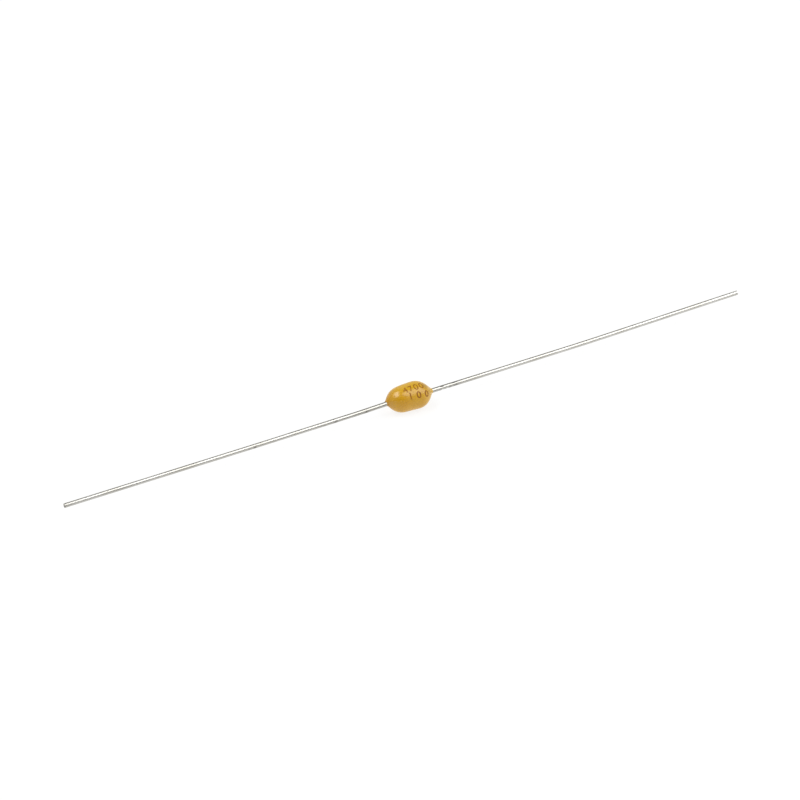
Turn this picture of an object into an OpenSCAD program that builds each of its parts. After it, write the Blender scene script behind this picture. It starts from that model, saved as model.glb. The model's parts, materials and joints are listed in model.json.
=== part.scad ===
// Axial multilayer ceramic capacitor.
// A fired ceramic chip with interleaved electrodes carries a silver termination on each end.
// A nail-headed wire is soldered to each termination, and a dipped epoxy coat seals the chip.
// The wires run along X, the chip's electrodes lie flat in XY and Z is up.
// The origin is the centre of the chip, on the axis of the wires. All sizes are in millimetres.

/* [Ceramic chip] */
// Length of the fired ceramic block, from end face to end face
chip_l = 2.0; // [1.4:0.1:3.2]
// Width of the ceramic block
chip_w = 1.25; // [0.9:0.05:1.6]
// Thickness of the ceramic block
chip_t = 1.0; // [0.8:0.05:1.6]
// Radius of the tumbled edges along the block
chip_edge_r = 0.06; // [0.02:0.01:0.12]

/* [Electrodes] */
// Printed electrodes that end at each termination
electrodes_per_side = 6; // [2:1:10]
// Thickness of one electrode
electrode_t = 0.01; // [0.004:0.002:0.02]
// Blank ceramic above the top electrode and below the bottom one
cover_t = 0.17; // [0.1:0.01:0.3]
// Blank ceramic beside the electrodes
side_margin = 0.15; // [0.08:0.01:0.3]
// Blank ceramic between an electrode's free end and the far end face
end_margin = 0.25; // [0.15:0.01:0.4]

/* [Terminations] */
// Thickness of the fired silver over the chip's ends
termination_t = 0.04; // [0.02:0.01:0.08]
// Length of the band that wraps round the chip
termination_band = 0.4; // [0.25:0.05:0.6]

/* [Leads] */
// Diameter of the tinned wire
wire_d = 0.4; // [0.35:0.01:0.6]
// Free length of each wire, from the end of the coat to the cut tip
lead_l = 30.8; // [15:0.1:45]
// Thickness of the nail head pressed on the wire's inner end
head_t = 0.16; // [0.1:0.01:0.3]
// Radial swell of the wire at the root of its nail head, which runs out where the wire leaves the coat
head_root_swell = 0.05; // [0.02:0.01:0.08]
// Bevel left by the cutter round the wire's tip
tip_bevel = 0.04; // [0.02:0.01:0.08]

/* [Grip marks] */
// Distance from the end of the coat to the middle of the jaw marks on the wire
grip_from_coat = 1.9; // [1:0.1:4]
// Length of a jaw mark along the wire
grip_l = 0.36; // [0.2:0.02:0.6]
// Depth that the jaws pressed into each side of the wire
grip_depth = 0.03; // [0.01:0.005:0.05]

/* [Solder joints] */
// Clear rim of the termination's end face round the foot of the solder
solder_rim = 0.02; // [0.01:0.01:0.08]
// Thickness of the solder under the nail head
solder_t = 0.04; // [0.02:0.01:0.08]
// Radius of the hollow solder fillet round the nail head
solder_fillet_r = 0.08; // [0.04:0.01:0.1]
// Width of the solder collar that wets the nail head's rim
solder_collar_w = 0.02; // [0.01:0.005:0.03]
// Thickness of the solder at the foot of its fillet
solder_foot_t = 0.01; // [0.005:0.005:0.02]

/* [Epoxy coat] */
// Thickness of the coat over the sides of the terminations, at mid length
coat_side_t = 0.46; // [0.35:0.01:0.8]
// Thickness of the coat over the top and the underside of the terminations, at mid length
coat_top_t = 0.59; // [0.35:0.01:0.8]
// Length of the coat past the outer face of the nail head
coat_end_t = 0.98; // [0.6:0.02:1.4]
// Swell of the coat over the soldered ends of the chip
coat_swell = 0.01; // [0:0.01:0.08]
// Thickness of the coat's lip where it ends on the wire
coat_lip_t = 0.02; // [0.01:0.005:0.04]
// Power of the round in the coat's cross-section, where 2 is an ellipse
coat_square = 2.3; // [2:0.1:3]
// Power that keeps the coat full along its length
coat_full = 3.9; // [3:0.1:6]
// Power that draws the coat's ends down into a meniscus on the wires
coat_meniscus = 1.6; // [1.1:0.1:2]

/* [Hidden] */
$fn = 48;
// How far a cutter runs past the face that it opens
cut_past = 0.1;

electrode_count = 2 * electrodes_per_side;
electrode_pitch = (chip_t - 2 * cover_t - electrode_t) / (electrode_count - 1);
electrode_l = chip_l - end_margin;
electrode_w = chip_w - 2 * side_margin;

wire_r = wire_d / 2;
// The solder's foot fills the termination's end face, and the nail head stands inside the solder's fillet
end_face_w = min(chip_w, chip_t) + 2 * termination_t;
solder_foot_r = end_face_w / 2 - solder_rim;
head_r = solder_foot_r - solder_fillet_r - solder_collar_w;
head_rim_r = head_t / 2;

// Places along X, counted outwards from the middle of the chip
chip_end_x = chip_l / 2;
termination_end_x = chip_end_x + termination_t;
head_x = termination_end_x + solder_t;
coat_end_x = head_x + head_t + coat_end_t;
tip_x = coat_end_x + lead_l;
grip_x = coat_end_x + grip_from_coat;

// Half sizes of the coat's middle section, and its radius where it ends on the wire
coat_half_w = chip_w / 2 + termination_t + coat_side_t;
coat_half_h = chip_t / 2 + termination_t + coat_top_t;
coat_lip_r = wire_r + coat_lip_t;
// The swell rises from the middle, peaks halfway to here and is gone by here, as a share of the half length
coat_swell_end = 0.8;
// Rings of the coat on each side of its middle, and corners of each ring
coat_rings = 22;
coat_sides = 40;

// Places a right-hand piece on the left by mirroring it across the middle of the chip
module on_left() {
    mirror([1, 0, 0]) children();
}

// Turns a profile of radius and distance about the wire's axis, starting at x
module turned_at(x) {
    translate([x, 0, 0]) rotate([0, 90, 0]) rotate_extrude() children();
}

// Rectangle with round corners
module round_rectangle(width, height, r) {
    square([width, height - 2 * r], center = true);
    square([width - 2 * r, height], center = true);
    for (x = [-1, 1], y = [-1, 1])
        translate([x * (width / 2 - r), y * (height / 2 - r)]) circle(r);
}

// Bar along X with round long edges, from x1 to x2
module round_bar(x1, x2, width, height, r) {
    translate([x1, 0, 0]) rotate([90, 0, 90])
        linear_extrude(x2 - x1) round_rectangle(width, height, r);
}

// The ceramic block's outer form, before its electrodes are let in
module chip_form() {
    round_bar(-chip_end_x, chip_end_x, chip_w, chip_t, chip_edge_r);
}

// Height of the middle of an electrode, counted from 0 at the bottom of the stack
function electrode_z(k) = (k - (electrode_count - 1) / 2) * electrode_pitch;

// One electrode plate that reaches the right end face, and runs past it by the length given
module electrode_plate(k, past = 0) {
    translate([end_margin - chip_end_x, -electrode_w / 2, electrode_z(k) - electrode_t / 2])
        cube([electrode_l + past, electrode_w, electrode_t]);
}

// Electrodes alternate up the stack: even ones end at the left, odd ones at the right
module left_electrode(i) {
    color("gainsboro") on_left() electrode_plate(2 * (i - 1));
}

module right_electrode(i) {
    color("gainsboro") electrode_plate(2 * i - 1);
}

module ceramic_block() {
    color("tan") difference() {
        chip_form();
        for (i = [1:electrodes_per_side]) {
            on_left() electrode_plate(2 * (i - 1), cut_past);
            electrode_plate(2 * i - 1, cut_past);
        }
    }
}

// Solid form of a termination together with the end of the chip that it holds
module termination_form() {
    round_bar(
        chip_end_x - termination_band, termination_end_x,
        chip_w + 2 * termination_t, chip_t + 2 * termination_t, chip_edge_r + termination_t
    );
}

module termination() {
    color("silver") difference() {
        termination_form();
        chip_form();
    }
}

// Wire with its nail head, long root cone and bevelled tip, before the jaws mark it
module lead_form() {
    length = tip_x - head_x;
    turned_at(head_x) {
        square([head_r - head_rim_r, head_t]);
        translate([head_r - head_rim_r, head_rim_r]) circle(head_rim_r);
        polygon([
            [0, 0],
            [wire_r + head_root_swell, 0],
            [wire_r + head_root_swell, head_t],
            [wire_r, head_t + coat_end_t],
            [wire_r, length - tip_bevel],
            [wire_r - tip_bevel, length],
            [0, length],
        ]);
    }
}

module lead() {
    color("lightgray") difference() {
        lead_form();
        for (side = [-1, 1])
            translate([grip_x, side * (wire_r - grip_depth + wire_d / 2), 0])
                cube([grip_l, wire_d, wire_d + cut_past], center = true);
    }
}

// Disc of solder under the nail head, with a hollow fillet round the head's rim
module solder_form() {
    top = solder_foot_t + solder_fillet_r;
    turned_at(termination_end_x) difference() {
        square([solder_foot_r, top]);
        translate([solder_foot_r, top]) circle(solder_fillet_r);
    }
}

module solder_joint() {
    color("darkgray") difference() {
        solder_form();
        lead_form();
    }
}

// How full the coat is at a share of its half length: 1 in the middle, 0 where it ends on the wire
function coat_fill(share) = pow(1 - pow(share, coat_full), coat_meniscus);

// Swell of the coat over the chip's soldered ends
function coat_swell_at(share) =
    share < coat_swell_end ? coat_swell * pow(sin(180 * share / coat_swell_end), 2) : 0;

// Half size of the coat at a share of its half length, for a half size in the middle
function coat_half(share, middle) =
    coat_lip_r + (middle - coat_lip_r) * coat_fill(share) + coat_swell_at(share);

// Cosine or sine drawn out towards the corners of a rounded rectangle
function squared(value, power) = sign(value) * pow(abs(value), 2 / power);

// One ring of the coat, round at the wire and squarer over the chip, with a flat facet underneath
function coat_ring(x) =
    let (
        share = abs(x) / coat_end_x,
        power = 2 + (coat_square - 2) * coat_fill(share),
        half_w = coat_half(share, coat_half_w),
        half_h = coat_half(share, coat_half_h)
    )
    [
        for (j = [0:coat_sides - 1])
            let (a = 360 * (j + 0.5) / coat_sides)
            [x, half_w * squared(cos(a), power), half_h * squared(sin(a), power)]
    ];

// The coat's outer form: rings lofted along X from wire to wire
module coat_form() {
    rings = [for (i = [-coat_rings:coat_rings]) coat_ring(coat_end_x * i / coat_rings)];
    last = len(rings) - 1;
    points = [for (ring = rings, point = ring) point];
    walls = [
        for (i = [0:last - 1], j = [0:coat_sides - 1])
            let (
                a = i * coat_sides + j,
                b = i * coat_sides + (j + 1) % coat_sides,
                c = b + coat_sides,
                d = a + coat_sides
            )
            each [[a, d, c], [a, c, b]]
    ];
    left_end = [for (j = [0:coat_sides - 1]) j];
    right_end = [for (j = [coat_sides - 1:-1:0]) last * coat_sides + j];
    polyhedron(points, concat(walls, [left_end, right_end]));
}

// Everything that the coat was dipped over at one end of the chip
module sealed_end() {
    termination_form();
    solder_form();
    lead_form();
}

module epoxy_coat() {
    color("goldenrod") difference() {
        coat_form();
        chip_form();
        sealed_end();
        on_left() sealed_end();
    }
}

epoxy_coat();
ceramic_block();
on_left() termination();  // left_termination
termination();  // right_termination
on_left() solder_joint();  // left_solder_joint
solder_joint();  // right_solder_joint
on_left() lead();  // left_lead
lead();  // right_lead
for (i = [1:electrodes_per_side])
    left_electrode(i);
for (i = [1:electrodes_per_side])
    right_electrode(i);
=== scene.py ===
import json
import math

import bmesh
import bpy
from mathutils import Matrix, Vector, noise


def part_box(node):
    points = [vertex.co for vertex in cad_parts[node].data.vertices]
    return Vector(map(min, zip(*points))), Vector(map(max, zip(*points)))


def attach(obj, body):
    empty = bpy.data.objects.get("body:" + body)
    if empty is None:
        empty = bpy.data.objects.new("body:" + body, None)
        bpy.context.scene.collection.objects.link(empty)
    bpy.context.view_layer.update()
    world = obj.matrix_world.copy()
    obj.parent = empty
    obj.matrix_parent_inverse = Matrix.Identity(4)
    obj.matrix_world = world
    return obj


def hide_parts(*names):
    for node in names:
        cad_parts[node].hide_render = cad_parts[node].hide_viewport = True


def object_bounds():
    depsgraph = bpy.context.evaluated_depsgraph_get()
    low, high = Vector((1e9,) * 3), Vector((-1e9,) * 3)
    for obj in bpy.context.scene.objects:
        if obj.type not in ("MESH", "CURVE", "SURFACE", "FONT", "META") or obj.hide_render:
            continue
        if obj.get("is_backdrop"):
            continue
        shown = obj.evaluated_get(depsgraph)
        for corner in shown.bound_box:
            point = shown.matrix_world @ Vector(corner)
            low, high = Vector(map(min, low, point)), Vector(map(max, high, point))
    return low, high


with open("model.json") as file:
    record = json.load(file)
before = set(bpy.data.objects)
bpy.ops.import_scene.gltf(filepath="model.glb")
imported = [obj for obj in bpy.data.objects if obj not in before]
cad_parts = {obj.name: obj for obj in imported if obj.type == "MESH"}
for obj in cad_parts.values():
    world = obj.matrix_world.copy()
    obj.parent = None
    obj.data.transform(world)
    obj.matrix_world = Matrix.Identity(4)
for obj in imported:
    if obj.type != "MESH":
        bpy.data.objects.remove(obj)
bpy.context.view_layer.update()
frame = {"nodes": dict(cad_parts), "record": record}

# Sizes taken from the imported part, in millimetres
MM = 0.001
coat_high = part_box("epoxy_coat")[1]
lead_low, lead_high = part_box("right_lead")
COAT_END = coat_high.x / MM
HEAD_X = lead_low.x / MM
HEAD_R = lead_high.z / MM
TIP_X = lead_high.x / MM
WIRE_R = frame["record"]["mounts"][0]["dims"]["r_mm"]

# Viewing angle of the photograph, in degrees, and the place of its camera, in millimetres
AZIMUTH = math.radians(-30.06)
ELEVATION = math.radians(33)
CAMERA_DISTANCE = 610
CAMERA_RIGHT = -0.7645
CAMERA_UP = -0.2415
CAMERA_LENS = 322.8
SENSOR_W = 36
# Nearest distance that the camera sees, in metres
CLIP_START = 0.01

# Camera axes, and the direction square to the wires that points up in the picture
RIGHT = Vector((math.cos(AZIMUTH), math.sin(AZIMUTH), 0))
BACK = Vector((
    math.sin(AZIMUTH) * math.cos(ELEVATION),
    -math.cos(AZIMUTH) * math.cos(ELEVATION),
    math.sin(ELEVATION),
))
UP = BACK.cross(RIGHT)
RISE = BACK.cross(Vector((1, 0, 0))).normalized()

# Dipped coat
COAT_HALF_W = 1.16
COAT_HALF_H = 1.165
COAT_LIP_R = WIRE_R + 0.02
COAT_SQUARE = 2.3
COAT_SWELL = 0.015
COAT_SWELL_END = 0.8
# Powers of the taper at the left and the right end: how long it stays full, and how hollow it ends
COAT_FULL = (4.4, 4)
COAT_MENISCUS = (1.38, 1.5)
# The coat hangs a little askew on the wires
COAT_LEAN = -0.048
COAT_LIFT = 0.06
# Where the upper left of the coat was drawn thin
PINCH_DEPTH = 0.157
PINCH_X = -1.23
PINCH_L = 1.1
# Slow lumps of the dipped skin
LUMP_SIZE = 0.9
LUMP_DEPTH = 0.008
COAT_RINGS = 150
COAT_SIDES = 160
# How strongly the rings crowd towards the ends, as a share of a quarter turn
RING_CROWD = 0.7
# Round of the lip's edge, and the strips that it is made of
RIM_ROUND = 0.012
RIM_STRIPS = 4
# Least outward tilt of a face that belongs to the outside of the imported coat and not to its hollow
OUTSIDE_TILT = 0.02

# Colours of the epoxy: its clouds, the tint of its flecks, and the places painted lighter as light or darker as
# shade
EPOXY_DARK = (0.44, 0.228, 0.001)
EPOXY_LIGHT = (0.5, 0.274, 0.003)
FLECK_TINT = (0.95, 0.93, 0.85)
EPOXY_LIT_TOP = (0.495, 0.285, 0.002)
EPOXY_SHADED_LEFT = (0.36, 0.162, 0.001)
EPOXY_LIT_RIGHT = (0.57, 0.34, 0.004)
EPOXY_SHADED_FRONT = (0.455, 0.228, 0.001)
EPOXY_FOLD_SHADE = (0.35, 0.19, 0.002)
# Painted light, palest on top: a point above the coat, and the inner and outer edge of the patch round it
LIT_TOP_AT = Vector((0, 0.9, 3))
LIT_TOP_INNER = 1.9
LIT_TOP_OUTER = 2.9
# Painted shade, deepest in front, told in the same way
SHADE_FRONT_AT = Vector((-1.1, -1.05, 0.3))
SHADE_FRONT_INNER = 0.2
SHADE_FRONT_OUTER = 1
# Painted shade, browner in a fold on the right shoulder
FOLD_SHADE_AT = Vector((1.36, -0.33, 0.97))
FOLD_SHADE_INNER = 0.06
FOLD_SHADE_OUTER = 0.42
# Where painted shade turns the left end brown and painted light turns the right end pale, along the wires, and
# how far each goes in the end
SHADE_LEFT_FROM = -1.5
SHADE_LEFT_TO = -2.15
SHADE_LEFT_SHARE = 0.6
LIGHT_RIGHT_FROM = 1.1
LIGHT_RIGHT_TO = 2.1
LIGHT_RIGHT_SHARE = 0.5
# Sizes of the epoxy's clouds, flecks, gloss patches and ripples, its roughness, and the depth and strength of
# the ripples
CLOUD_SIZE = 0.8
FLECK_SIZE = 0.16
GLOSS_SIZE = 0.5
RIPPLE_SIZE = 0.35
EPOXY_ROUGH = (0.24, 0.32)
RIPPLE_DEPTH = 0.01
RIPPLE_STRENGTH = 0.4
EPOXY_IOR = 1.57
EPOXY_SPECULAR = 0.5

# Wires
HEAD_T = 0.16
# How the left and the right wire stray from their straight line, upwards in the picture: the step inside
# the coat, the slope from there on, the place of a soft bend and its angle, and a lift by the coat
STRAY = ((-0.008, -0.0015, 15, 0.0035, 0.04), (-0.06, -0.0025, 17.2, 0.0145, 0))
BEND_SOFT = 2
LIFT_L = 1.8
# The left wire was cut a little longer
LEFT_EXTRA = 0.11
ROOT_SWELL = 0.05
# Jaw marks and wear: depth of the deepest, half their turn round the wire in radians, and for each mark its
# place along the wire, its angle round it in degrees, its half length, and its share of the full depth
MARK_DEPTH = 0.06
MARK_TURN = 0.5
LEFT_MARKS = (
    (4.26, 191, 0.17, 1),
    (3.54, 200, 0.09, 0.5),
    (4.62, 200, 0.1, 0.5),
    (5.41, 200, 0.12, 0.4),
    (7.25, 197, 0.13, 0.7),
    (8.35, 205, 0.1, 0.7),
    (7.3, 195, 0.7, 0.25),
    (15.08, 191, 0.14, 0.9),
    (15.65, 203, 0.2, 0.5),
)
RIGHT_MARKS = (
    (3.2, 100, 0.1, 0.7),
    (2.9, 200, 0.12, 0.4),
    (3.92, 197, 0.12, 0.7),
    (4.5, 195, 0.28, 0.8),
    (4.4, 85, 0.28, 0.5),
    (3.25, 226, 0.1, 0.8),
    (3.72, 226, 0.09, 0.8),
)
# Darker spots on top of each wire by the coat and in front towards the left tip, told in the same way, with
# less than none where a mark is bright
LEFT_DARK_SPOTS = ((3, 75, 6, 0.15), (31, 165, 13, 0.18))
RIGHT_DARK_SPOTS = ((3.5, 75, 3, 0.35), (3.25, 226, 0.1, -0.8), (3.72, 226, 0.09, -0.8))
# Share of the painted shade on the upper half of a cut end
CUT_SHADE = 0.15
TIP_BEVEL = 0.03
CUT_SLOPE = 0.25
WIRE_CUTS = 320
WIRE_SIDES = 40
# Power with which the wire's rings crowd towards the coat
WIRE_CROWD = 1.5

# Colours of the tin, of its dull patches, of its tarnish by the coat, and of its dark spots and the painted
# shade on the cut ends
TIN_DARK = (0.53, 0.522, 0.492)
TIN_LIGHT = (0.6, 0.592, 0.56)
DULL_TINT = (0.86, 0.85, 0.82)
TARNISH = (0.44, 0.43, 0.39)
SPOT_SHADE_DARK = (0.04, 0.037, 0.03)
SPOT_SHADE_LIGHT = (0.08, 0.075, 0.062)
# Distance from the middle where the tarnish starts to fade and where it ends, and its share
TARNISH_FROM = 3
TARNISH_TO = 11
TARNISH_SHARE = 0.6
# Die lines, dull patches and dark spots: size, and how far the first two are drawn out along the wire
LINE_SIZE = 0.05
LINE_STRETCH = (40, 1, 1)
DULL_SIZE = 0.9
DULL_STRETCH = (3, 1, 1)
SPOT_SHADE_SIZE = 0.06
TIN_ROUGH = (0.28, 0.36)
LINE_DEPTH = 0.002

# Print: height of a digit, the share of the font's size that it takes, and the ink's thickness above the coat
PRINT_H = 0.625
DIGIT_SHARE = 0.7
INK_T = 0.006
INK_CELL = 0.04
INK_WELD = 0.003
# Rows: digits, place of the first one, pitch, angle round the coat in degrees and its change per millimetre
# along the row, and how far the ink spreads
UPPER_ROW = ("4700", -0.62, 0.52, 112, -2, 0)
LOWER_ROW = ("100", -0.37, 0.78, 149, 5, 0.012)
INK_DARK = (0.17, 0.055, 0.004)
INK_LIGHT = (0.32, 0.12, 0.006)
INK_BREAK_SIZE = 0.07
INK_GLOSS_SIZE = 0.1
INK_ROUGH = (0.45, 0.6)
INK_SPECULAR = 0.25

# Chip inside: colours, grain and roughness of the ceramic
CERAMIC_DARK = (0.44, 0.33, 0.23)
CERAMIC_LIGHT = (0.56, 0.44, 0.32)
CERAMIC_SIZE = 0.05
CERAMIC_PORE = 0.02
CERAMIC_DEPTH = 0.002
CERAMIC_ROUGH = 0.6
# Metals inside: dark and light colour, size of the grain, mean roughness, and depth of the grain
SILVER = ((0.56, 0.55, 0.52), (0.72, 0.71, 0.68), 0.03, 0.45, 0.003)
SOLDER = ((0.5, 0.5, 0.5), (0.64, 0.64, 0.63), 0.08, 0.35, 0.004)
NICKEL = ((0.42, 0.4, 0.36), (0.54, 0.52, 0.47), 0.04, 0.4, 0.001)
METAL_SPREAD = 0.08

# Usual range of a noise, the narrower ones of patches, and the usual strength of a bump
GRAIN_RANGE = (0.3, 0.7)
PATCH_RANGE = (0.35, 0.6)
SPOT_SHADE_RANGE = (0.35, 0.65)
INK_RANGE = (0.35, 0.68)
BUMP = 0.5
WHITE = (1, 1, 1)

# Stage: floor radius in metres, its sides and paint, the share of it that glows, the light it throws up, and
# the light of the room
FLOOR_R = 3
FLOOR_SIDES = 64
FLOOR_PAINT = (0.9, 0.9, 0.9, 1)
FLOOR_GLOW = 0.85
FLOOR_LIGHT = 1.6
ROOM_LIGHT = 0.32
# A dark card on the floor in front of the coat, seen only in what is glossy: its middle, its inner and outer
# edge, and its brightness
CARD_AT = Vector((-2.5, -14.5, -1.1))
CARD_INNER = 10
CARD_OUTER = 13.5
CARD_LIGHT = 0.25
# What glossy surfaces see of the room, of its dark side where the camera stands, and the cosines of its edges
ROOM_SHINE = 0.7
DARK_TOWARD = Vector((-0.34, -0.925, 0.12))
DARK_LIGHT = 0.1
DARK_INNER = 0.87
DARK_OUTER = 0.5
# Its dim ceiling: its brightness, and the heights on a unit sphere where it starts and is full
CEILING_LIGHT = 0.3
CEILING_LOW = 0.35
CEILING_HIGH = 0.65
# Soft lamps: distance in metres, and for each its direction, its size in metres and its surface brightness
LAMP_DISTANCE = 0.8
LEFT_LAMP = ((-0.45, 0.224, 0.865), (0.92, 0.4), 5.3)
OVERHEAD_LAMP = ((0.548, -0.404, 0.733), (0.61, 0.9), 2.9)

# Distance under which points are one, steepest edge that is shaded soft, and turn under which faces are flat
WELD = 1e-5
SHARP = math.radians(35)
FLAT = math.radians(1)


def squared(value, power):
    """Cosine or sine drawn out towards the corners of a rounded rectangle."""
    return math.copysign(abs(value) ** (2 / power), value)


def wire_stray(x):
    """How far a wire has strayed from its straight line at a place, upwards in the picture."""
    step, slope, bend_x, bend, lift = STRAY[0 if x < 0 else 1]
    distance = abs(x)
    share = min(max((distance - HEAD_X - HEAD_T) / (COAT_END - HEAD_X - HEAD_T), 0), 1)
    past = distance - bend_x
    turn = bend * (past + math.hypot(past, BEND_SOFT)) / 2
    rise = lift * math.exp(-((distance - COAT_END) / LIFT_L) ** 2)
    return share ** 2 * (3 - 2 * share) * (step + slope * (distance - COAT_END) + turn + rise)


def coat_point(x, angle):
    """Point of the coat's skin at a place along the wires and an angle round them, 0 behind and 90 on top."""
    end = 0 if x < 0 else 1
    share = min(abs(x) / COAT_END, 1)
    fill = (1 - share ** COAT_FULL[end]) ** COAT_MENISCUS[end]
    swell = 0
    if share < COAT_SWELL_END:
        swell = COAT_SWELL * math.sin(math.pi * share / COAT_SWELL_END) ** 2
    power = 2 + (COAT_SQUARE - 2) * fill
    half_w = COAT_LIP_R + (COAT_HALF_W - COAT_LIP_R) * fill + swell
    half_h = COAT_LIP_R + (COAT_HALF_H - COAT_LIP_R) * fill + swell
    point = Vector((0, half_w * squared(math.cos(angle), power), half_h * squared(math.sin(angle), power)))
    # The upper left is drawn thin
    outward = point.normalized()
    upward = max(outward.dot(RISE), 0) ** 2
    point -= outward * PINCH_DEPTH * upward * math.exp(-((x - PINCH_X) / PINCH_L) ** 2)
    # Slow lumps die out towards the lips
    place = Vector((x, point.y, point.z)) / LUMP_SIZE
    point += outward * LUMP_DEPTH * fill * noise.noise(place)
    # The whole coat hangs askew, and its lip still covers the wire
    wire = RISE * wire_stray(x)
    clear = point + RISE * (COAT_LEAN * x + COAT_LIFT) - wire
    if clear.length < COAT_LIP_R:
        clear *= COAT_LIP_R / clear.length
    point = wire + clear
    point.x = x
    return point


def coat_normal(x, angle):
    """Outward direction of the coat's skin."""
    step = 0.01
    lengthwise = coat_point(x + step, angle) - coat_point(x - step, angle)
    round_it = coat_point(x, angle + step) - coat_point(x, angle - step)
    return round_it.cross(lengthwise).normalized()


def spin_round(bm, sides):
    """Turns everything in the mesh once about the wires' axis and closes it."""
    bmesh.ops.spin(
        bm,
        geom=bm.verts[:] + bm.edges[:],
        cent=(0, 0, 0),
        axis=(1, 0, 0),
        angle=2 * math.pi,
        steps=sides,
        use_merge=True,
    )
    bmesh.ops.remove_doubles(bm, verts=bm.verts, dist=WELD)


def finish_piece(name, bm, material, replaced=()):
    """Turns a mesh in millimetres into a piece of the part, with soft shading and crisp edges."""
    bmesh.ops.recalc_face_normals(bm, faces=bm.faces)
    for face in bm.faces:
        face.smooth = True
    for edge in bm.edges:
        edge.smooth = edge.is_manifold and edge.calc_face_angle(0) < SHARP
    bmesh.ops.scale(bm, vec=(MM, MM, MM), verts=bm.verts)
    mesh = bpy.data.meshes.new(name)
    bm.to_mesh(mesh)
    bm.free()
    mesh.materials.append(material)
    piece = bpy.data.objects.new(name, mesh)
    bpy.context.scene.collection.objects.link(piece)
    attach(piece, "root")
    if replaced:
        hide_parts(*replaced)


# Shader helpers

def add_node(tree, kind, inputs=None, **options):
    """Adds a shader node with its options, and fills or links the inputs given by name."""
    made = tree.nodes.new(kind)
    for name, value in options.items():
        setattr(made, name, value)
    for name, value in (inputs or {}).items():
        if isinstance(value, bpy.types.NodeSocket):
            tree.links.new(value, made.inputs[name])
        else:
            made.inputs[name].default_value = value
    return made


def maths(tree, operation, first, second=0):
    """Result of one step of arithmetic on numbers."""
    return add_node(tree, "ShaderNodeMath", {0: first, 1: second}, operation=operation).outputs[0]


def grain(tree, size, detail=2, stretch=(1, 1, 1)):
    """Noise with features about the given size in millimetres, drawn out along an axis by a stretch."""
    coords = add_node(tree, "ShaderNodeTexCoord").outputs["Object"]
    scale = [1 / (size * MM * k) for k in stretch]
    place = add_node(tree, "ShaderNodeMapping", {"Vector": coords, "Scale": scale}).outputs["Vector"]
    return add_node(tree, "ShaderNodeTexNoise", {"Vector": place, "Scale": 1, "Detail": detail}).outputs[0]


def ramp(tree, factor, dark, light, span=GRAIN_RANGE):
    """Colour that runs from one to another as a factor runs through a span."""
    made = add_node(tree, "ShaderNodeValToRGB", {"Fac": factor})
    for element, place, colour in zip(made.color_ramp.elements, span, (dark, light)):
        element.position = place
        element.color = (*colour, 1)
    return made.outputs["Color"]


def between(tree, value, low, high, to_low, to_high):
    """Maps a range of values to another one."""
    made = add_node(tree, "ShaderNodeMapRange", {
        "Value": value, "From Min": low, "From Max": high, "To Min": to_low, "To Max": to_high,
    })
    return made.outputs["Result"]


def mixed(tree, factor, first, second, blend="MIX"):
    """Mixes a second colour, linked or plain, into a linked one."""
    added = second if isinstance(second, bpy.types.NodeSocket) else (*second, 1)
    parts = {0: factor, 6: first, 7: added}
    made = add_node(tree, "ShaderNodeMix", parts, data_type="RGBA", blend_type=blend)
    return made.outputs[2]


def along(tree):
    """Place along the wires, in millimetres."""
    coords = add_node(tree, "ShaderNodeTexCoord").outputs["Object"]
    x = add_node(tree, "ShaderNodeSeparateXYZ", {"Vector": coords}).outputs["X"]
    return maths(tree, "DIVIDE", x, MM)


def reach(tree):
    """Distance from the middle along the wires, in millimetres."""
    return maths(tree, "ABSOLUTE", along(tree))


def around(tree, centre, inner, outer):
    """1 near a point and 0 away from it, with its edges at two distances, all in millimetres."""
    coords = add_node(tree, "ShaderNodeTexCoord").outputs["Object"]
    ends = {0: coords, 1: centre * MM}
    away = add_node(tree, "ShaderNodeVectorMath", ends, operation="DISTANCE").outputs["Value"]
    return between(tree, away, inner * MM, outer * MM, 1, 0)


def bumped(tree, height, depth, strength=BUMP):
    """Normal disturbed by a height of the given depth in millimetres."""
    made = add_node(tree, "ShaderNodeBump", {"Height": height, "Strength": strength, "Distance": depth * MM})
    return made.outputs["Normal"]


def new_material(name):
    """Empty node material and its surface shader."""
    made = bpy.data.materials.new(name)
    made.use_nodes = True
    return made, made.node_tree, made.node_tree.nodes["Principled BSDF"]


def feed(tree, shader, **sockets):
    """Links or sets the shader's sockets, named with underscores for spaces."""
    for name, value in sockets.items():
        socket = shader.inputs[name.replace("_", " ")]
        if isinstance(value, bpy.types.NodeSocket):
            tree.links.new(value, socket)
        else:
            socket.default_value = value


# Finishes

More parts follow.
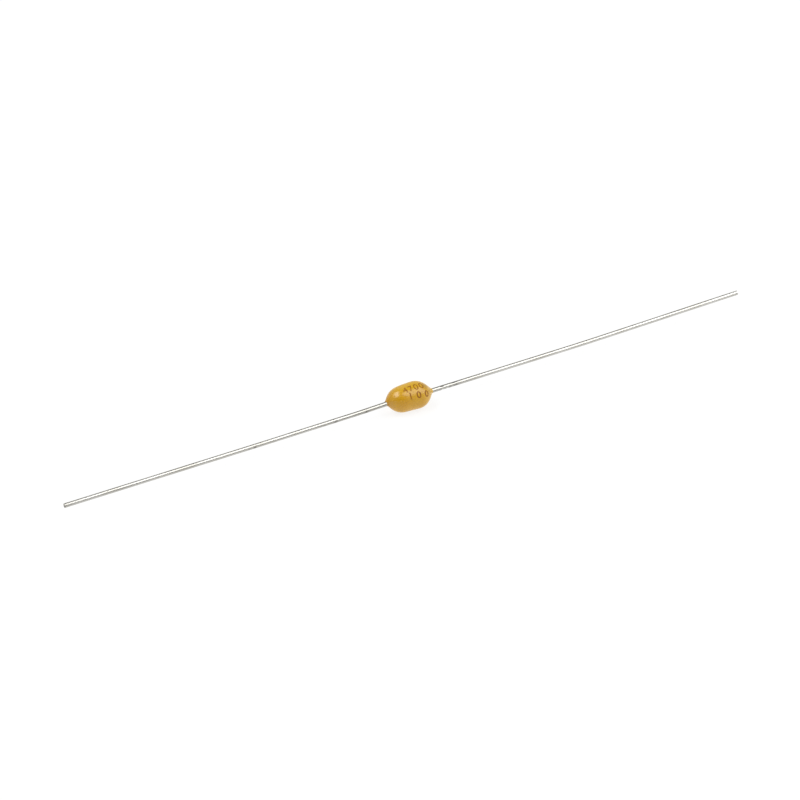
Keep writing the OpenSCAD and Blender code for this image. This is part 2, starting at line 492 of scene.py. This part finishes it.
def amber_epoxy():
    """Cloudy, semi-gloss amber epoxy: painted light makes it paler on top and right, painted shade browner
    left, in a fold and in front.
    """
    made, tree, shader = new_material("amber_epoxy")
    clouds = ramp(tree, grain(tree, CLOUD_SIZE, 3), EPOXY_DARK, EPOXY_LIGHT)
    flecks = ramp(tree, grain(tree, FLECK_SIZE), FLECK_TINT, WHITE, PATCH_RANGE)
    body = mixed(tree, 1.0, clouds, flecks, "MULTIPLY")
    # Painted light makes the top paler
    lit_top = mixed(tree, around(tree, LIT_TOP_AT, LIT_TOP_INNER, LIT_TOP_OUTER), body, EPOXY_LIT_TOP)
    # Painted shade browns the left end
    left = between(tree, along(tree), SHADE_LEFT_FROM, SHADE_LEFT_TO, 0, SHADE_LEFT_SHARE)
    shaded_left = mixed(tree, left, lit_top, EPOXY_SHADED_LEFT)
    # Painted light makes the right end paler
    right = between(tree, along(tree), LIGHT_RIGHT_FROM, LIGHT_RIGHT_TO, 0, LIGHT_RIGHT_SHARE)
    lit_right = mixed(tree, right, shaded_left, EPOXY_LIT_RIGHT)
    # Painted shade deepens the front
    shaded_front = mixed(tree, around(tree, SHADE_FRONT_AT, SHADE_FRONT_INNER, SHADE_FRONT_OUTER), lit_right, EPOXY_SHADED_FRONT)
    feed(
        tree, shader,
        # Painted shade browns a fold on the right shoulder
        Base_Color=mixed(tree, around(tree, FOLD_SHADE_AT, FOLD_SHADE_INNER, FOLD_SHADE_OUTER), shaded_front, EPOXY_FOLD_SHADE),
        Roughness=between(tree, grain(tree, GLOSS_SIZE, 3), *GRAIN_RANGE, *EPOXY_ROUGH),
        Normal=bumped(tree, grain(tree, RIPPLE_SIZE, 1), RIPPLE_DEPTH, RIPPLE_STRENGTH),
        IOR=EPOXY_IOR,
        Specular_IOR_Level=EPOXY_SPECULAR,
    )
    return made


def tinned_wire():
    """Tin on drawn wire: die lines, dull patches, tarnish by the coat, dark spots in marks and along it, and
    painted shade on the cut ends.
    """
    made, tree, shader = new_material("tinned_wire")
    lines = grain(tree, LINE_SIZE, stretch=LINE_STRETCH)
    tin = ramp(tree, lines, TIN_DARK, TIN_LIGHT)
    dull = ramp(tree, grain(tree, DULL_SIZE, 3, DULL_STRETCH), DULL_TINT, WHITE, PATCH_RANGE)
    bright = mixed(tree, 1.0, tin, dull, "MULTIPLY")
    tarnish = between(tree, reach(tree), TARNISH_FROM, TARNISH_TO, TARNISH_SHARE, 0)
    toned = mixed(tree, tarnish, bright, TARNISH)
    shade_and_spot_mask = add_node(tree, "ShaderNodeAttribute", attribute_name="shade_and_spot_mask").outputs["Fac"]
    dark_spots_and_shade = ramp(tree, grain(tree, SPOT_SHADE_SIZE), SPOT_SHADE_DARK, SPOT_SHADE_LIGHT, SPOT_SHADE_RANGE)
    feed(
        tree, shader,
        Base_Color=mixed(tree, shade_and_spot_mask, toned, dark_spots_and_shade),
        Metallic=1.0,
        Roughness=between(tree, lines, *GRAIN_RANGE, *TIN_ROUGH),
        Normal=bumped(tree, lines, LINE_DEPTH),
    )
    return made


def brown_ink():
    """Matt brown marking ink, thin and broken in places."""
    made, tree, shader = new_material("brown_ink")
    feed(
        tree, shader,
        Base_Color=ramp(tree, grain(tree, INK_BREAK_SIZE), INK_DARK, INK_LIGHT, INK_RANGE),
        Roughness=between(tree, grain(tree, INK_GLOSS_SIZE), *GRAIN_RANGE, *INK_ROUGH),
        Specular_IOR_Level=INK_SPECULAR,
    )
    return made


def fired_ceramic():
    """Unglazed tan ceramic with a fine grain."""
    made, tree, shader = new_material("fired_ceramic")
    feed(
        tree, shader,
        Base_Color=ramp(tree, grain(tree, CERAMIC_SIZE, 4), CERAMIC_DARK, CERAMIC_LIGHT),
        Roughness=CERAMIC_ROUGH,
        Normal=bumped(tree, grain(tree, CERAMIC_PORE, 3), CERAMIC_DEPTH),
    )
    return made


def metal(name, dark, light, size, rough, depth):
    """Plain metal with a grain of the given size that varies its colour, gloss and surface."""
    made, tree, shader = new_material(name)
    pattern = grain(tree, size, 3)
    feed(
        tree, shader,
        Base_Color=ramp(tree, pattern, dark, light),
        Metallic=1.0,
        Roughness=between(tree, pattern, *GRAIN_RANGE, rough - METAL_SPREAD, rough + METAL_SPREAD),
        Normal=bumped(tree, pattern, depth),
    )
    return made


# Pieces

def add_coat(material):
    """Dipped coat: a turned skin pressed into the dipped form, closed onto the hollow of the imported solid."""
    bm = bmesh.new()
    ends = [bm.verts.new((x, 0, 1)) for x in (-COAT_END, COAT_END)]
    spine = bm.edges.new(ends)
    bmesh.ops.subdivide_edges(bm, edges=[spine], cuts=COAT_RINGS)
    # Rings crowd towards the ends, where the taper is steep
    crowd = RING_CROWD * math.pi / 2
    for vert in bm.verts:
        vert.co.x = COAT_END * math.sin(crowd * vert.co.x / COAT_END) / math.sin(crowd)
    spin_round(bm, COAT_SIDES)
    for vert in bm.verts:
        vert.co = coat_point(vert.co.x, math.atan2(vert.co.z, vert.co.y))
    skin_rims = [edge for edge in bm.edges if edge.is_boundary]
    add_hollow(bm)
    rims = [edge for edge in bm.edges if edge.is_boundary]
    for end in (-1, 1):
        loops = [edge for edge in rims if edge.verts[0].co.x * end > 0]
        bmesh.ops.triangle_fill(bm, use_beauty=True, edges=loops, normal=(end, 0, 0))
    bmesh.ops.recalc_face_normals(bm, faces=bm.faces)
    bmesh.ops.bevel(
        bm,
        geom=skin_rims,
        offset=RIM_ROUND,
        offset_type="OFFSET",
        affect="EDGES",
        segments=RIM_STRIPS,
        profile=0.5,
        material=-1,
    )
    finish_piece("dipped_coat", bm, material, ["epoxy_coat"])


def add_hollow(bm):
    """Adds the walls of the coat's hollow, as packed, fitted to the chip, its terminations and the wires."""
    walls = bmesh.new()
    walls.from_mesh(frame["nodes"]["epoxy_coat"].data)
    bmesh.ops.scale(walls, vec=(1 / MM, 1 / MM, 1 / MM), verts=walls.verts)
    bmesh.ops.remove_doubles(walls, verts=walls.verts, dist=WELD)
    walls.normal_update()
    outside = []
    for face in walls.faces:
        middle = face.calc_center_median()
        lip = abs(middle.x) > COAT_END - WELD
        outward = Vector((0, middle.y, middle.z)).normalized()
        if lip or face.normal.dot(outward) > OUTSIDE_TILT:
            outside.append(face)
    bmesh.ops.delete(walls, geom=outside, context="FACES")
    for vert in walls.verts:
        vert.co += RISE * wire_stray(vert.co.x)
    scratch = bpy.data.meshes.new("hollow")
    walls.to_mesh(scratch)
    walls.free()
    bm.from_mesh(scratch)
    bpy.data.meshes.remove(scratch)


def marked(x, angle, marks):
    """How strong the marks or the dark spots are at a place on the wire, as a share of the strongest."""
    share = 0
    for mark_x, mark_angle, mark_l, mark_share in marks:
        turn = math.remainder(angle - math.radians(mark_angle), 2 * math.pi)
        share += mark_share * math.exp(-((x - mark_x) / mark_l) ** 2 - (turn / MARK_TURN) ** 2)
    return min(share, 1)


def add_lead(name, side, tip_x, marks, dark_spots_and_shade, material):
    """Tinned wire with its nail head, swollen root, jaw marks, slight bend and sheared tip."""
    bm = bmesh.new()
    profile = [
        (HEAD_X, 0),
        (HEAD_X, HEAD_R - HEAD_T / 3),
        (HEAD_X + HEAD_T / 4, HEAD_R),
        (HEAD_X + HEAD_T * 3 / 4, HEAD_R),
        (HEAD_X + HEAD_T, HEAD_R - HEAD_T / 3),
        (HEAD_X + HEAD_T, WIRE_R + ROOT_SWELL),
        (COAT_END, WIRE_R),
        (tip_x - TIP_BEVEL, WIRE_R),
        (tip_x, WIRE_R - TIP_BEVEL),
        (tip_x, 0),
    ]
    verts = [bm.verts.new((x, 0, r)) for x, r in profile]
    edges = [bm.edges.new(pair) for pair in zip(verts, verts[1:])]
    free_wire = edges[profile.index((COAT_END, WIRE_R))]
    bmesh.ops.subdivide_edges(bm, edges=[free_wire], cuts=WIRE_CUTS)
    # Rings crowd towards the coat, where most of the marks are
    run = tip_x - TIP_BEVEL - COAT_END
    for vert in bm.verts:
        share = (vert.co.x - COAT_END) / run
        if 0 < share < 1:
            vert.co.x = COAT_END + run * share ** WIRE_CROWD
    spin_round(bm, WIRE_SIDES)
    shade_and_spot_mask = bm.verts.layers.float.new("shade_and_spot_mask")
    for vert in bm.verts:
        x = vert.co.x
        angle = math.atan2(vert.co.z, vert.co.y)
        radial = Vector((0, vert.co.y, vert.co.z))
        if x > COAT_END and radial.length > WIRE_R - WELD:
            dent = marked(x, angle, marks)
            radial *= 1 - MARK_DEPTH / WIRE_R * dent
            # Darker in the marks and at the listed spots
            vert[shade_and_spot_mask] = min(max(dent + marked(x, angle, dark_spots_and_shade), 0), 1)
        # The cut slopes back to both sides, and its lower half is painted dark as shade
        if x > tip_x - WELD:
            vert[shade_and_spot_mask] = 1 if radial.dot(RISE) < -WELD else CUT_SHADE
            x -= CUT_SLOPE * abs(vert.co.z)
        vert.co = radial + RISE * wire_stray(side * x)
        vert.co.x = x
    if side < 0:
        bmesh.ops.scale(bm, vec=(-1, 1, 1), verts=bm.verts)
    finish_piece(name, bm, material, [name.replace("wire", "lead")])


def add_print(name, digits, first_x, pitch, row_angle, skew, spread, material):
    """Row of digits in thin ink, stamped on the coat at a slight skew, with strokes widened by the spread."""
    bm = bmesh.new()
    for place, digit in enumerate(digits):
        curve = bpy.data.curves.new(name, "FONT")
        curve.body = digit
        curve.align_x = "CENTER"
        curve.align_y = "CENTER"
        curve.size = PRINT_H / DIGIT_SHARE
        curve.offset = spread
        text = bpy.data.objects.new(name, curve)
        bpy.context.scene.collection.objects.link(text)
        bpy.context.view_layer.update()
        flat = bpy.data.meshes.new_from_object(text.evaluated_get(bpy.context.evaluated_depsgraph_get()))
        flat.transform(Matrix.Translation((first_x + pitch * place, 0, 0)))
        bm.from_mesh(flat)
        bpy.data.objects.remove(text)
        bpy.data.curves.remove(curve)
        bpy.data.meshes.remove(flat)
    bmesh.ops.remove_doubles(bm, verts=bm.verts, dist=INK_WELD)
    bmesh.ops.dissolve_limit(bm, angle_limit=FLAT, verts=bm.verts, edges=bm.edges)
    slice_fine(bm, Vector((1, 0, 0)), first_x - PRINT_H, first_x + pitch * len(digits))
    slice_fine(bm, Vector((0, 1, 0)), -PRINT_H, PRINT_H)
    bmesh.ops.remove_doubles(bm, verts=bm.verts, dist=INK_WELD)
    for vert in bm.verts:
        angle = math.radians(row_angle + skew * vert.co.x) - vert.co.y / COAT_HALF_W
        vert.co = coat_point(vert.co.x, angle) + coat_normal(vert.co.x, angle) * INK_T
    bmesh.ops.recalc_face_normals(bm, faces=bm.faces)
    bmesh.ops.solidify(bm, geom=bm.faces[:], thickness=INK_T * 2)
    finish_piece(name, bm, material)


def slice_fine(bm, direction, low, high):
    """Cuts flat digits into narrow strips, so that they follow the coat's curve."""
    cuts = math.ceil((high - low) / INK_CELL)
    for cut in range(1, cuts):
        bmesh.ops.bisect_plane(
            bm,
            geom=bm.verts[:] + bm.edges[:] + bm.faces[:],
            plane_co=direction * (low + INK_CELL * cut),
            plane_no=direction,
            dist=WELD / 10,
        )


# Stage

def seen(tree):
    """1 for what is seen, directly, in a gloss or through glass, and 0 for the light that falls on things."""
    path = add_node(tree, "ShaderNodeLightPath").outputs
    first = maths(tree, "MAXIMUM", path["Is Camera Ray"], path["Is Glossy Ray"])
    return maths(tree, "MAXIMUM", first, path["Is Transmission Ray"])


def add_floor(height):
    """Wide white light table that keeps the part's faint shadow."""
    bm = bmesh.new()
    bmesh.ops.create_circle(bm, cap_ends=True, segments=FLOOR_SIDES, radius=FLOOR_R)
    bmesh.ops.translate(bm, vec=(0, 0, height), verts=bm.verts)
    mesh = bpy.data.meshes.new("floor")
    bm.to_mesh(mesh)
    bm.free()
    made = bpy.data.materials.new("white_floor")
    made.use_nodes = True
    tree = made.node_tree
    tree.nodes.clear()
    paint = add_node(tree, "ShaderNodeBsdfDiffuse", {"Color": FLOOR_PAINT})
    glossy = add_node(tree, "ShaderNodeLightPath").outputs["Is Glossy Ray"]
    card = maths(tree, "MULTIPLY", around(tree, CARD_AT, CARD_INNER, CARD_OUTER), glossy)
    shown = between(tree, card, 0, 1, 1, CARD_LIGHT)
    light = between(tree, seen(tree), 0, 1, FLOOR_LIGHT, shown)
    glow = add_node(tree, "ShaderNodeEmission", {"Color": (*WHITE, 1), "Strength": light})
    both = add_node(tree, "ShaderNodeMixShader", {0: FLOOR_GLOW, 1: paint.outputs[0], 2: glow.outputs[0]})
    add_node(tree, "ShaderNodeOutputMaterial", {"Surface": both.outputs[0]})
    mesh.materials.append(made)
    floor = bpy.data.objects.new("floor", mesh)
    bpy.context.scene.collection.objects.link(floor)
    floor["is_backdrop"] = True


def add_world():
    """Pale room that lights the part evenly, and shows its dark side and ceiling only in what is glossy."""
    world = bpy.data.worlds.new("pale_room")
    bpy.context.scene.world = world
    world.use_nodes = True
    tree = world.node_tree
    toward = add_node(tree, "ShaderNodeTexCoord").outputs["Generated"]
    pair = {0: toward, 1: DARK_TOWARD}
    facing = add_node(tree, "ShaderNodeVectorMath", pair, operation="DOT_PRODUCT").outputs["Value"]
    side = between(tree, facing, DARK_OUTER, DARK_INNER, ROOM_SHINE, DARK_LIGHT)
    height = add_node(tree, "ShaderNodeSeparateXYZ", {"Vector": toward}).outputs["Z"]
    ceiling = between(tree, height, CEILING_LOW, CEILING_HIGH, ROOM_SHINE, CEILING_LIGHT)
    dim = maths(tree, "MINIMUM", side, ceiling)
    mirrored = between(tree, seen(tree), 0, 1, ROOM_LIGHT, dim)
    shown = add_node(tree, "ShaderNodeLightPath").outputs["Is Camera Ray"]
    background = tree.nodes["Background"]
    background.inputs["Color"].default_value = (*WHITE, 1)
    tree.links.new(maths(tree, "MAXIMUM", mirrored, shown), background.inputs["Strength"])


def add_softbox(name, direction, size, brightness):
    """Rectangular soft lamp of the given surface brightness, aimed at the part."""
    data = bpy.data.lights.new(name, "AREA")
    data.shape = "RECTANGLE"
    data.size, data.size_y = size
    data.energy = brightness * math.pi * size[0] * size[1]
    lamp = bpy.data.objects.new(name, data)
    toward = Vector(direction).normalized()
    lamp.location = toward * LAMP_DISTANCE
    lamp.rotation_euler = toward.to_track_quat("Z", "Y").to_euler()
    bpy.context.scene.collection.objects.link(lamp)


def add_camera():
    """Long lens at the photograph's viewing angle."""
    data = bpy.data.cameras.new("camera")
    data.lens = CAMERA_LENS
    data.sensor_width = SENSOR_W
    data.clip_start = CLIP_START
    camera = bpy.data.objects.new("camera", data)
    place = (BACK * CAMERA_DISTANCE + RIGHT * CAMERA_RIGHT + UP * CAMERA_UP) * MM
    camera.matrix_world = Matrix.Translation(place) @ Matrix((RIGHT, UP, BACK)).transposed().to_4x4()
    bpy.context.scene.collection.objects.link(camera)
    bpy.context.scene.camera = camera


epoxy = amber_epoxy()
tin = tinned_wire()
ink = brown_ink()
inner = {
    "ceramic": fired_ceramic(),
    "termination": metal("fired_silver", *SILVER),
    "solder": metal("satin_solder", *SOLDER),
    "electrode": metal("nickel_film", *NICKEL),
}

add_coat(epoxy)
add_lead("left_wire", -1, TIP_X + LEFT_EXTRA, LEFT_MARKS, LEFT_DARK_SPOTS, tin)
add_lead("right_wire", 1, TIP_X, RIGHT_MARKS, RIGHT_DARK_SPOTS, tin)
add_print("upper_print", *UPPER_ROW, ink)
add_print("lower_print", *LOWER_ROW, ink)

for row in frame["record"]["subparts"]:
    if row["material_slot"] in inner:
        slots = frame["nodes"][row["node"]].data.materials
        slots.clear()
        slots.append(inner[row["material_slot"]])

add_floor(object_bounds()[0].z)
add_world()
add_softbox("left_softbox", *LEFT_LAMP)
add_softbox("overhead_softbox", *OVERHEAD_LAMP)
add_camera()
bpy.context.scene.view_settings.view_transform = "Standard"
